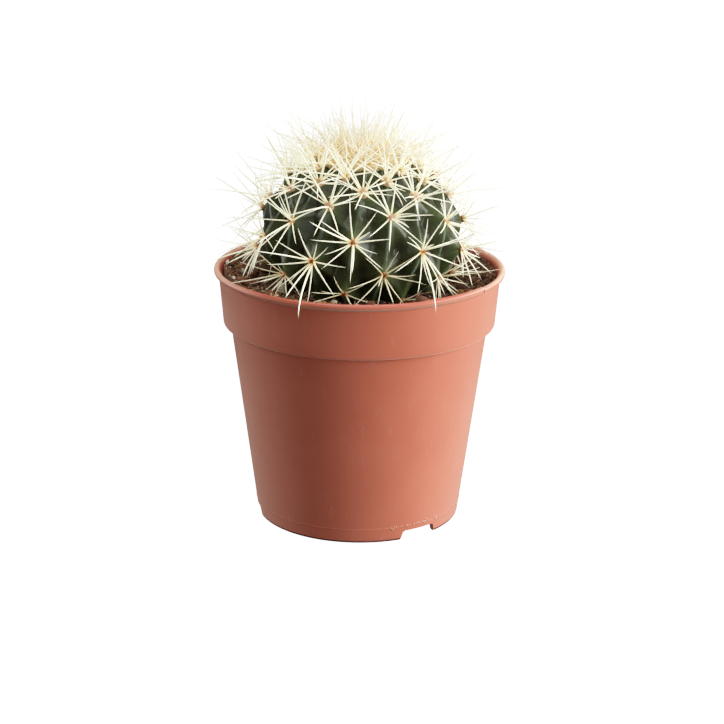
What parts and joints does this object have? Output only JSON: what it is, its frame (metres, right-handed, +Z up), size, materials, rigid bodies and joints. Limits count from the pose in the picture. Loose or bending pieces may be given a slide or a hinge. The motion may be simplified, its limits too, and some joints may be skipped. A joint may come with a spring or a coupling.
{
  "type": "potted round cactus",
  "caption": "Round cactus with fans of pale spines and a woolly crown, growing in soil in a tapered nursery pot with a collar, a rolled lip and a notched foot.",
  "frame": {"origin": "middle of the pot's foot, on the surface that it stands on", "axes": "+Z up along the pot's axis; -Y is the side that the picture shows; +X is to its right"},
  "size_m": [0.1232, 0.1232, 0.1765],
  "materials": {
    "pot": "satin moulded plastic in terracotta orange, slightly scuffed",
    "soil": "matt, crumbly peat and fibre",
    "roots": "matt, woody",
    "stem": "waxy dark green skin with soft highlights on its ridges",
    "spines": "smooth, slightly glossy ivory with reddish-brown felt at the base",
    "crown": "dense ivory spines out of matt tan wool"
  },
  "bodies": {
    "root": {"pot": "pot", "soil": "soil", "roots": "roots", "stem": "stem", "spines_01": "spines", "spines_02": "spines", "spines_03": "spines", "spines_04": "spines", "spines_05": "spines", "spines_06": "spines", "spines_07": "spines", "spines_08": "spines", "spines_09": "spines", "spines_10": "spines", "spines_11": "spines", "spines_12": "spines", "spines_13": "spines", "spines_14": "spines", "spines_15": "spines", "spines_16": "spines", "spines_17": "spines", "spines_18": "spines", "spines_19": "spines", "spines_20": "spines", "spines_21": "spines", "spines_22": "spines", "spines_23": "spines", "spines_24": "spines", "spines_25": "spines", "spines_26": "spines", "spines_27": "spines", "spines_28": "spines", "spines_29": "spines", "spines_30": "spines", "spines_31": "spines", "spines_32": "spines", "spines_33": "spines", "spines_34": "spines", "spines_35": "spines", "spines_36": "spines", "spines_37": "spines", "spines_38": "spines", "spines_39": "spines", "spines_40": "spines", "spines_41": "spines", "spines_42": "spines", "spines_43": "spines", "spines_44": "spines", "spines_45": "spines", "spines_46": "spines", "spines_47": "spines", "spines_48": "spines", "spines_49": "spines", "spines_50": "spines", "spines_51": "spines", "spines_52": "spines", "spines_53": "spines", "spines_54": "spines", "spines_55": "spines", "crown": "crown"}
  },
  "joints": []
}
